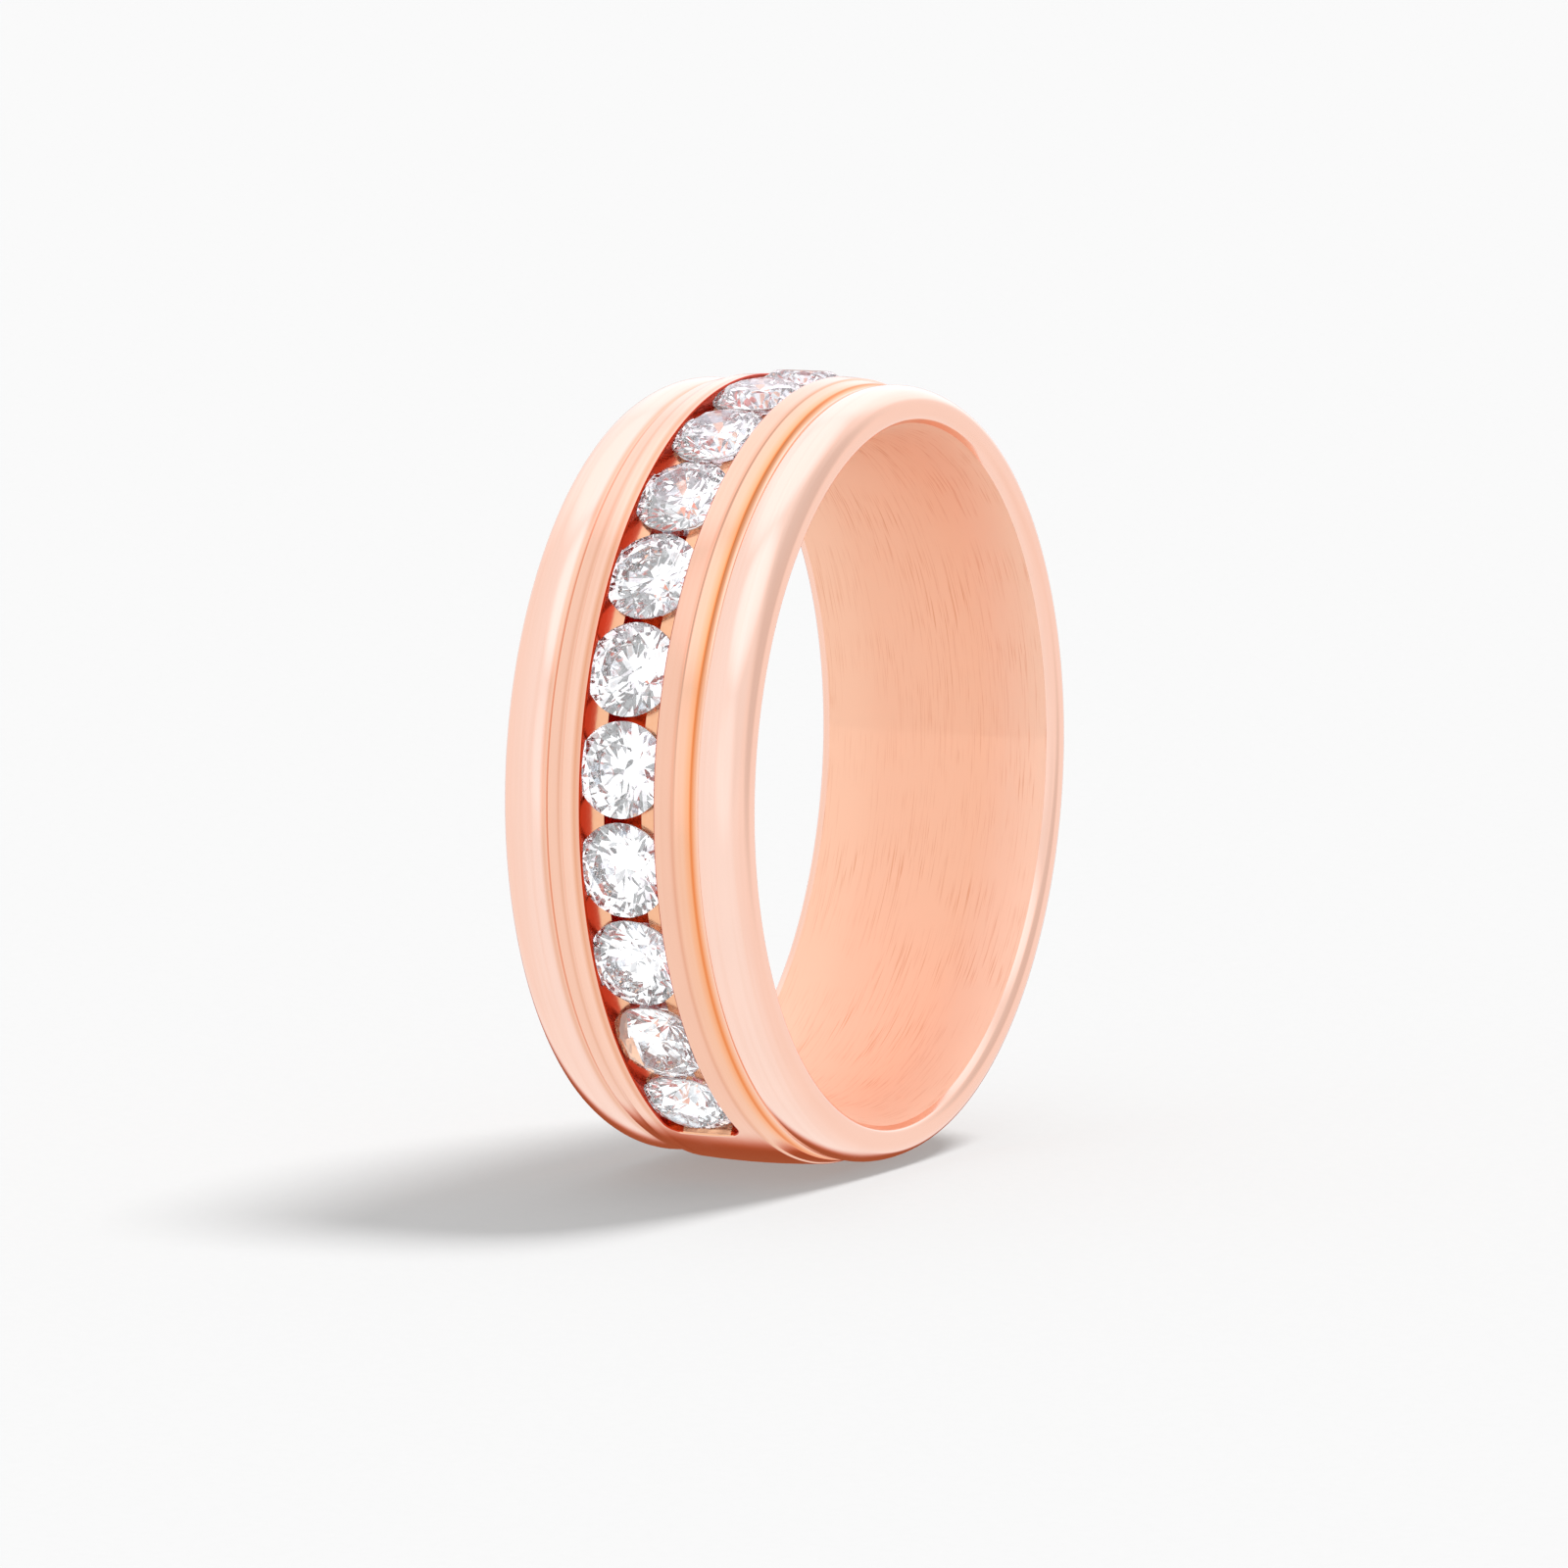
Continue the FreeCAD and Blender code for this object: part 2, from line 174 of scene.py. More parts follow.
def arc(centre: tuple[float, float], radius: float, start: float, end: float,
        steps: int) -> np.ndarray:
    """Points on a circular arc: centre plus radius times cosine and sine of even angles.

    Args:
        centre: centre of the arc.
        radius: its radius.
        start: angle of the first point, in radians.
        end: angle of the last point.
        steps: number of steps between points.

    Returns:
        The points, one a row.
    """
    angle = np.linspace(start, end, steps + 1)
    return np.array(centre) + radius * np.stack([np.cos(angle), np.sin(angle)], axis=-1)


def line(start: tuple[float, float], end: tuple[float, float], steps: int) -> np.ndarray:
    """Evenly spaced points from start to end."""
    return np.linspace(start, end, steps + 1)


def trimmed(run: np.ndarray, start: float, end: float) -> np.ndarray:
    """Shorten a run at both ends and space its points evenly again.

    Formula: each new point is read at an even length along the old run.

    Args:
        run: the points of the run, one a row.
        start: length to cut from its beginning.
        end: length to cut from its end.

    Returns:
        As many points as before, one a row.
    """
    steps = np.linalg.norm(np.diff(run, axis=0), axis=1)
    length = np.concatenate([[0.0], np.cumsum(steps)])
    at = np.linspace(start, length[-1] - end, len(run))
    return np.stack([np.interp(at, length, run[:, 0]), np.interp(at, length, run[:, 1])], axis=-1)


def eased_outline(runs: Sequence[np.ndarray], reaches: Sequence[float], steps: int) -> np.ndarray:
    """Join runs end to end and ease the corners between them.

    Formula: each corner is replaced by a quadratic curve that leaves the first run at the
    corner's reach, has the corner as its control point and lands on the next run as far
    beyond it. A reach of zero keeps the joint as it is.

    Args:
        runs: point lists, each starting where the last one ends.
        reaches: the reach of the corner after each run but the last.
        steps: steps of each easing curve.

    Returns:
        The whole outline without repeated points, one point a row.
    """
    before = [0.0, *reaches]
    after = [*reaches, 0.0]
    cut = [trimmed(run, start, end) if start or end else run
           for run, start, end in zip(runs, before, after)]
    share = np.linspace(0, 1, steps + 1)[1:-1, None]
    parts = [cut[0]]
    for index, reach in enumerate(reaches):
        first, corner, last = cut[index][-1], runs[index][-1], cut[index + 1][0]
        if reach:
            parts.append((1 - share) ** 2 * first + 2 * share * (1 - share) * corner
                         + share ** 2 * last)
            parts.append(cut[index + 1])
        else:
            parts.append(cut[index + 1][1:])
    return np.concatenate(parts)


# ---------------------------------------------------------------- finishes

def linear(colour: str) -> tuple[float, float, float, float]:
    """Turn an sRGB hex colour into a linear one.

    Args:
        colour: the colour, such as #f2c8b4.

    Returns:
        Red, green, blue and an alpha of one.
    """
    srgb = np.array([int(colour[at:at + 2], 16) for at in (1, 3, 5)]) / 255
    value = np.where(srgb <= 0.04045, srgb / 12.92, ((srgb + 0.055) / 1.055) ** 2.4)
    return (*value.tolist(), 1.0)


def add_node(tree: bpy.types.NodeTree, kind: str, inputs: dict | None = None,
             **settings: object) -> bpy.types.Node:
    """Add a node with its settings and its inputs.

    Args:
        tree: the node tree.
        kind: the node's type.
        inputs: input name or number to a value, or to the output socket that feeds it.
        settings: the node's own properties.

    Returns:
        The new node.
    """
    node = tree.nodes.new(kind)
    for name, value in settings.items():
        setattr(node, name, value)
    for name, value in (inputs or {}).items():
        if isinstance(value, bpy.types.NodeSocket):
            tree.links.new(value, node.inputs[name])
        else:
            node.inputs[name].default_value = value
    return node


def new_material(name: str) -> tuple[bpy.types.Material, bpy.types.NodeTree]:
    """Make a material with an empty node tree.

    Args:
        name: the material's name.

    Returns:
        The material and its tree.
    """
    material = bpy.data.materials.new(name)
    material.use_nodes = True
    material.node_tree.nodes.clear()
    return material, material.node_tree


def per_metre(size_mm: float) -> float:
    """Noise scale that gives features of this size on object coordinates."""
    return 1 / (size_mm * MM)


def tone_across(tree: bpy.types.NodeTree, place: bpy.types.NodeSocket,
                stops: Sequence[tuple[float, str]]) -> bpy.types.NodeSocket:
    """Tone by place across the band.

    Formula: the place is x, and the tone runs straight from one stop to the next.

    Args:
        tree: the node tree.
        place: the object coordinates.
        stops: places in millimetres, lowest first, each with its sRGB hex tone.

    Returns:
        The tone's socket.
    """
    low, high = stops[0][0], stops[-1][0]
    x = add_node(tree, "ShaderNodeSeparateXYZ", {"Vector": place}).outputs["X"]
    share = add_node(tree, "ShaderNodeMapRange", {
        "Value": x, "From Min": low * MM, "From Max": high * MM})
    ramp = add_node(tree, "ShaderNodeValToRGB", {"Fac": share.outputs["Result"]})
    elements = ramp.color_ramp.elements
    elements.remove(elements[1])
    elements[0].position = 0.0
    elements[0].color = linear(stops[0][1])
    for at, tone in stops[1:]:
        elements.new((at - low) / (high - low)).color = linear(tone)
    return ramp.outputs["Color"]


def lines_round(tree: bpy.types.NodeTree, place: bpy.types.NodeSocket, width_mm: float,
                length_mm: float, detail: float) -> bpy.types.NodeSocket:
    """Noise drawn out round the finger hole, as tool and buff marks are.

    Args:
        tree: the node tree.
        place: the object coordinates.
        width_mm: size of a mark across the band.
        length_mm: size of a mark round the band.
        detail: how many finer layers the noise has.

    Returns:
        The noise's value socket.
    """
    across, along = per_metre(width_mm), per_metre(length_mm)
    stretched = add_node(tree, "ShaderNodeMapping", {
        "Vector": place, "Scale": (across, along, along)})
    return add_node(tree, "ShaderNodeTexNoise", {
        "Vector": stretched.outputs["Vector"], "Scale": 1.0, "Detail": detail}).outputs["Fac"]


@dataclass(frozen=True)
class PolishedGold:
    """Mirror-polished 14 carat rose gold, buffed on a felt wheel.

    The eye sees clear soft reflections that wander a little where the wheel dwelt, and
    faint buff lines round the band. Its tone across the band is painted light and shade:
    darker at the creases and the far valley as painted shade, deep orange in the valley
    beside the +X rail as a painted reflection of gold in gold, and lightest on the rails.
    """

    name: str = "rose_gold_polished"
    # Painted light and shade by place across the band: darker at the creases and the far valley, deep
    # orange beside the +X rail for gold mirrored in gold, lightest on the rails.
    tones: tuple[tuple[float, str], ...] = (
        (-3.95, "#f8c7b2"), (-3.30, "#fad3c2"), (-2.60, "#fbd7c8"), (-2.49, "#ecb79c"),
        (-2.40, "#f7c9b2"), (-2.00, "#f5c5ae"), (-1.91, "#eab398"), (-1.82, "#f7c8b1"),
        (-1.50, "#fbcfba"), (-1.36, "#ebad8b"), (-1.22, "#f4c0a8"),
        (1.22, "#f4c4ad"), (1.66, "#f4c2aa"), (1.75, "#e8ae92"), (1.82, "#f6c3a8"),
        (2.04, "#f6c1a3"), (2.13, "#f8b993"), (2.22, "#f7b083"), (2.28, "#ea8646"),
        (2.34, "#f7b086"), (2.44, "#fbcfb8"), (2.54, "#fbd6c6"), (3.40, "#fcd9ca"),
        (3.80, "#facdba"), (3.95, "#f8c7b2"))
    buff_tone: str = "#fdf9f7"
    buff_width_mm: float = 0.14
    buff_length_mm: float = 9.0
    buff_detail: float = 2.0
    buff_span: tuple[float, float] = (0.45, 0.75)
    roughness: tuple[float, float] = (0.08, 0.15)
    haze_mm: float = 1.6
    haze_detail: float = 4.0
    haze_span: tuple[float, float] = (0.35, 0.65)
    wander_mm: float = 3.2
    wander_detail: float = 1.0
    wander_depth_mm: float = 0.004

    def material(self) -> bpy.types.Material:
        """Build the finish's nodes.

        Returns:
            The material.
        """
        material, tree = new_material(self.name)
        place = add_node(tree, "ShaderNodeTexCoord").outputs["Object"]
        haze = add_node(tree, "ShaderNodeTexNoise", {
            "Vector": place, "Scale": per_metre(self.haze_mm), "Detail": self.haze_detail})
        wander = add_node(tree, "ShaderNodeTexNoise", {
            "Vector": place, "Scale": per_metre(self.wander_mm),
            "Detail": self.wander_detail})
        rough = add_node(tree, "ShaderNodeMapRange", {
            "Value": haze.outputs["Fac"], "From Min": self.haze_span[0],
            "From Max": self.haze_span[1],
            "To Min": self.roughness[0], "To Max": self.roughness[1]})
        lines = lines_round(tree, place, self.buff_width_mm, self.buff_length_mm,
                            self.buff_detail)
        buffed = add_node(tree, "ShaderNodeMapRange", {
            "Value": lines, "From Min": self.buff_span[0], "From Max": self.buff_span[1]})
        tone = add_node(tree, "ShaderNodeMixRGB", {
            "Fac": buffed.outputs["Result"], "Color1": tone_across(tree, place, self.tones),
            "Color2": linear(self.buff_tone)}, blend_type="MULTIPLY")
        swell = add_node(tree, "ShaderNodeBump", {
            "Height": wander.outputs["Fac"], "Strength": 1.0,
            "Distance": self.wander_depth_mm * MM})
        gold = add_node(tree, "ShaderNodeBsdfPrincipled", {
            "Base Color": tone.outputs["Color"], "Metallic": 1.0,
            "Roughness": rough.outputs["Result"], "Normal": swell.outputs["Normal"]})
        add_node(tree, "ShaderNodeOutputMaterial", {"Surface": gold.outputs["BSDF"]})
        return material


@dataclass(frozen=True)
class BoreGold:
    """The finger hole's rose gold, turned and then lapped on a spinning mandrel.

    The eye sees an even satin sheen, with short fine scratches in loose groups that all
    run round the hole.
    """

    name: str = "rose_gold_bore"
    # Painted light: the tone is lighter from 2.5 to 3.5 mm, towards the +X mouth.
    tones: tuple[tuple[float, str], ...] = (
        (-3.75, "#ffd2b7"), (-1.60, "#ffd2b7"), (1.60, "#ffd3b8"), (2.50, "#ffd9c2"),
        (3.50, "#ffd9c2"), (3.75, "#ffd2b9"))
    scratch_tone: str = "#f2dfd2"
    roughness: float = 0.60
    # Lapping scratches are about 0.02 mm wide, and are drawn at twice that to be seen.
    scratch_width_mm: float = 0.04
    scratch_length_mm: float = 1.6
    scratch_depth_mm: float = 0.0003
    scratch_span: tuple[float, float] = (0.54, 0.68)
    group_mm: float = 2.2
    group_span: tuple[float, float] = (0.36, 0.60)
    detail: float = 2.0

    def material(self) -> bpy.types.Material:
        """Build the finish's nodes.

        Returns:
            The material.
        """
        material, tree = new_material(self.name)
        place = add_node(tree, "ShaderNodeTexCoord").outputs["Object"]
        grain = lines_round(tree, place, self.scratch_width_mm, self.scratch_length_mm,
                            self.detail)
        scratch = add_node(tree, "ShaderNodeMapRange", {
            "Value": grain, "From Min": self.scratch_span[0], "From Max": self.scratch_span[1]})
        groups = add_node(tree, "ShaderNodeTexNoise", {
            "Vector": place, "Scale": per_metre(self.group_mm), "Detail": self.detail})
        grouped = add_node(tree, "ShaderNodeMapRange", {
            "Value": groups.outputs["Fac"], "From Min": self.group_span[0],
            "From Max": self.group_span[1], "To Max": scratch.outputs["Result"]})
        tone = add_node(tree, "ShaderNodeMixRGB", {
            "Fac": grouped.outputs["Result"], "Color1": tone_across(tree, place, self.tones),
            "Color2": linear(self.scratch_tone)}, blend_type="MULTIPLY")
        cut = add_node(tree, "ShaderNodeBump", {
            "Height": grouped.outputs["Result"], "Strength": 1.0,
            "Distance": self.scratch_depth_mm * MM})
        gold = add_node(tree, "ShaderNodeBsdfPrincipled", {
            "Base Color": tone.outputs["Color"], "Metallic": 1.0,
            "Roughness": self.roughness, "Normal": cut.outputs["Normal"]})
        add_node(tree, "ShaderNodeOutputMaterial", {"Surface": gold.outputs["BSDF"]})
        return material


@dataclass(frozen=True)
class MilledMetal:
    """Metal as the cutter left it inside the channel: bright, finely ribbed, never buffed.

    The walls are painted deep red, a painted shade and painted reflection that stands in
    for light that comes only by way of other gold. The rose gold floor and ends are as
    clear as the outside. The seats are painted white, a painted light that keeps the
    gold's colour out of the stones.
    """

    name: str
    tone: str
    rib_tone: str
    roughness: float
    rib_mm: float = 0.12
    rib_depth_mm: float = 0.0015
    rib_detail: float = 2.0

    def material(self) -> bpy.types.Material:
        """Build the finish's nodes.

        Returns:
            The material.
        """
        material, tree = new_material(self.name)
        place = add_node(tree, "ShaderNodeTexCoord").outputs["Object"]
        ribs = add_node(tree, "ShaderNodeTexNoise", {
            "Vector": place, "Scale": per_metre(self.rib_mm), "Detail": self.rib_detail})
        tone = add_node(tree, "ShaderNodeMixRGB", {
            "Fac": ribs.outputs["Fac"], "Color1": linear(self.tone),
            "Color2": linear(self.rib_tone)})
        cut = add_node(tree, "ShaderNodeBump", {
            "Height": ribs.outputs["Fac"], "Strength": 1.0,
            "Distance": self.rib_depth_mm * MM})
        gold = add_node(tree, "ShaderNodeBsdfPrincipled", {
            "Base Color": tone.outputs["Color"], "Metallic": 1.0,
            "Roughness": self.roughness, "Normal": cut.outputs["Normal"]})
        add_node(tree, "ShaderNodeOutputMaterial", {"Surface": gold.outputs["BSDF"]})
        return material


@dataclass(frozen=True)
class Diamond:
    """Diamond, either lapped to a mirror on its facets or bruted frosty on its girdle.

    The eye sees crisp white and grey facets, a trace cooler than the gold round them.
    """

    name: str
    tone: str
    roughness: tuple[float, float]
    grain_mm: float
    grain_detail: float = 2.0
    grain_span: tuple[float, float] = (0.4, 0.7)
    ior: float = 2.417

    def material(self) -> bpy.types.Material:
        """Build the stone's nodes, with the lap's faint haze in its roughness.

        Returns:
            The material.
        """
        material, tree = new_material(self.name)
        place = add_node(tree, "ShaderNodeTexCoord").outputs["Object"]
        grain = add_node(tree, "ShaderNodeTexNoise", {
            "Vector": place, "Scale": per_metre(self.grain_mm), "Detail": self.grain_detail})
        rough = add_node(tree, "ShaderNodeMapRange", {
            "Value": grain.outputs["Fac"], "From Min": self.grain_span[0],
            "From Max": self.grain_span[1],
            "To Min": self.roughness[0], "To Max": self.roughness[1]})
        stone = add_node(tree, "ShaderNodeBsdfPrincipled", {
            "Base Color": linear(self.tone), "Roughness": rough.outputs["Result"],
            "IOR": self.ior, "Transmission Weight": 1.0})
        add_node(tree, "ShaderNodeOutputMaterial", {"Surface": stone.outputs["BSDF"]})
        return material


@dataclass(frozen=True)
class SweepPaper:
    """Matt white background paper: an even tone with a faint short-fibre tooth."""

    name: str = "matt_paper"
    tone: str = "#8b8b8b"
    fibre_tone: str = "#898989"
    fibre_mm: float = 0.35
    fibre_detail: float = 3.0

    def material(self) -> bpy.types.Material:
        """Build the finish's nodes.

        Returns:
            The material.
        """
        material, tree = new_material(self.name)
        place = add_node(tree, "ShaderNodeTexCoord").outputs["Object"]
        fibre = add_node(tree, "ShaderNodeTexNoise", {
            "Vector": place, "Scale": per_metre(self.fibre_mm), "Detail": self.fibre_detail})
        tone = add_node(tree, "ShaderNodeMixRGB", {
            "Fac": fibre.outputs["Fac"], "Color1": linear(self.tone),
            "Color2": linear(self.fibre_tone)})
        paper = add_node(tree, "ShaderNodeBsdfPrincipled", {
            "Base Color": tone.outputs["Color"], "Roughness": 1.0,
            "Specular IOR Level": 0.0})
        add_node(tree, "ShaderNodeOutputMaterial", {"Surface": paper.outputs["BSDF"]})
        return material


# ---------------------------------------------------------------- the stones' places

def stone_nodes() -> list[str]:
    """Names of the frame's stones, in the order of the row."""
    return sorted(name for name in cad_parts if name.startswith("diamond_"))


@dataclass
class StoneRow:
    """The row of round brilliants, one object for each stone, where the frame has them."""

    diameter: float = 2.81
    girdle_level: float = 11.34
    crown_part: float = 0.130
    girdle_part: float = 0.030
    pavilion_part: float = 0.430
    table_part: float = 0.57
    star_part: float = 0.50
    lower_half_part: float = 0.77
    fold: int = 8
    girdle_steps: int = 6
    spin: float = math.radians(137.5)
    nodes: list[str] = field(default_factory=stone_nodes)

    @property
    def radius(self) -> float:
        """Radius of the girdle."""
        return self.diameter / 2

    @property
    def girdle_low(self) -> float:
        """Distance from the bore's axis to the girdle's lower edge."""
        return self.girdle_level - self.girdle_part * self.diameter

    @property
    def culet_level(self) -> float:
        """Distance from the bore's axis to the culet."""
        return self.girdle_low - self.pavilion_part * self.diameter

    def turns(self) -> np.ndarray:
        """Read each stone's turn angle from the middle of its corners in the frame.

        Returns:
            The angles in radians, in the order of the nodes.
        """
        angles = []
        for name in self.nodes:
            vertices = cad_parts[name].data.vertices
            corners = np.empty(len(vertices) * 3, np.float32)
            vertices.foreach_get("co", corners)
            middle = corners.reshape(-1, 3).mean(axis=0)
            angles.append(math.atan2(middle[2], -middle[1]))
        return np.array(angles)

    def scallop(self, star: np.ndarray, side: float, start: float, level: float) -> np.ndarray:
        """Points where a flat girdle facet meets the round girdle.

        Formula: the facet's plane holds its inner corner and its two outer ones, and the
        height at each even angle along the girdle is read from that plane.

        Args:
            star: the facet's inner corner.
            side: the angle's step from one outer corner to the next.
            start: angle of the first outer corner.
            level: height of both outer corners.

        Returns:
            The points from the first outer corner to the last, one a row.
        """
        angle = start + side * np.linspace(0, 1, self.girdle_steps + 1)
        rim = self.radius * np.stack([np.cos(angle), np.sin(angle)], axis=-1)
        corners = np.array([[*rim[0], level], [*rim[-1], level], star])
        normal = np.cross(corners[1] - corners[0], corners[2] - corners[0])
        height = level - ((rim - rim[0]) @ normal[:2]) / normal[2]
        return np.column_stack([rim, height])

    def brilliant(self) -> tuple[np.ndarray, list[list[int]], list[int]]:
        """One brilliant with its table up and its upper girdle edge at height zero.

        Formula: 1 table, 8 star, 8 bezel, 16 upper half, 16 lower half and 8 pavilion
        main facets, all flat. The plane of a bezel or a main facet stands square to its
        own radius, so its height falls evenly along that radius. The girdle is round, and
        the half facets cut it in shallow scallops.

        Returns:
            The corners, the faces and each face's finish.
        """
        half = math.pi / self.fold
        crown = self.crown_part * self.diameter
        low = -self.girdle_part * self.diameter
        depth = self.pavilion_part * self.diameter
        table = self.table_part * self.radius
        star_r = (table + self.star_part * (self.radius - table)) * math.cos(half)
        star_z = crown * (self.radius - star_r * math.cos(half)) / (self.radius - table)
        main_r = (1 - self.lower_half_part) * self.radius
        main_z = low - depth * (1 - main_r * math.cos(half) / self.radius)
        steps = self.girdle_steps

        def ring(r: float, z: float, offset: float) -> np.ndarray:
            """Turn points evenly round the stone's axis.

            Args:
                r: their distance from the axis.
                z: their height.
                offset: turn of the first one, in radians.

            Returns:
                The points, one a row.
            """
            angle = offset + 2 * half * np.arange(self.fold)
            return np.column_stack([r * np.cos(angle), r * np.sin(angle), np.full(self.fold, z)])

        tables = ring(table, crown, 0.0)
        stars = ring(star_r, star_z, half)
        mains = ring(main_r, main_z, half)
        upper, lower = [], []
        for part in range(2 * self.fold):
            inner = part // 2
            upper.append(self.scallop(stars[inner], half, part * half, 0.0)[:-1])
            lower.append(self.scallop(mains[inner], half, part * half, low)[:-1])
        culet = np.array([[0.0, 0.0, low - depth]])
        points = np.concatenate([tables, stars, mains, *upper, *lower, culet])
        rim = 2 * self.fold * steps
        star_at, main_at = self.fold, 2 * self.fold
        upper_at = 3 * self.fold
        lower_at = upper_at + rim
        culet_at = lower_at + rim
        faces = [list(range(self.fold))]
        for here in range(self.fold):
            after = (here + 1) % self.fold
            before = (here - 1) % self.fold
            corner = 2 * here * steps
            faces += [
                [here, star_at + here, after],
                [here, star_at + before, upper_at + corner, star_at + here],
                [culet_at, main_at + here, lower_at + corner, main_at + before],
            ]
            for first in (corner, corner + steps):
                arc_points = [(first + step) % rim for step in range(steps + 1)]
                faces.append([star_at + here] + [upper_at + point for point in arc_points])
                faces.append([main_at + here] + [lower_at + point for point in arc_points[::-1]])
        finishes = [Facet.POLISHED.value] * len(faces)
        for step in range(rim):
            after = (step + 1) % rim
            faces.append([upper_at + step, lower_at + step, lower_at + after, upper_at + after])
            finishes.append(Facet.GIRDLE.value)
        return points, faces, finishes

    def seated(self, points: np.ndarray, turn: float, spin: float) -> np.ndarray:
        """Spin a stone about its own axis, lean it to its turn angle and lift it to its seat.

        Args:
            points: the stone's corners, table up.
            turn: turn angle of its place in the row.
            spin: its turn about its own axis.

        Returns:
            The corners in the band's frame.
        """
        x = points[:, 0] * math.cos(spin) - points[:, 1] * math.sin(spin)
        y = points[:, 0] * math.sin(spin) + points[:, 1] * math.cos(spin)
        out = points[:, 2] + self.girdle_level
        return np.column_stack([
            x, -out * math.cos(turn) + y * math.sin(turn), out * math.sin(turn) + y * math.cos(turn)])

    def build(self) -> list[bpy.types.Object]:
        """Make, dress and declare every stone.

        Returns:
            The stones, in the order of the nodes.
        """
        facets = Diamond("diamond_polished", "#fafdff", (0.0, 0.004), 0.5).material()
        girdle = Diamond("diamond_bruted", "#f4f1ee", (0.35, 0.5), 0.05).material()
        points, faces, finishes = self.brilliant()
        stones = []
        for index, (node, turn) in enumerate(zip(self.nodes, self.turns())):
            name = node.replace("diamond", "brilliant")
            mesh = bpy.data.meshes.new(name)
            placed = self.seated(points, turn, self.spin * index) * MM
            mesh.from_pydata(placed.tolist(), [], faces)
            mesh.materials.append(facets)
            mesh.materials.append(girdle)
            mesh.polygons.foreach_set("material_index", finishes)
            mesh.polygons.foreach_set("use_smooth", [bool(finish) for finish in finishes])
            mesh.validate()
            stone = bpy.data.objects.new(name, mesh)
            bpy.context.scene.collection.objects.link(stone)
            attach(stone, ROOT)
            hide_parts(node)
            log.info("%s seated at %.1f degrees", name, math.degrees(turn))
            stones.append(stone)
        return stones


# ---------------------------------------------------------------- the band

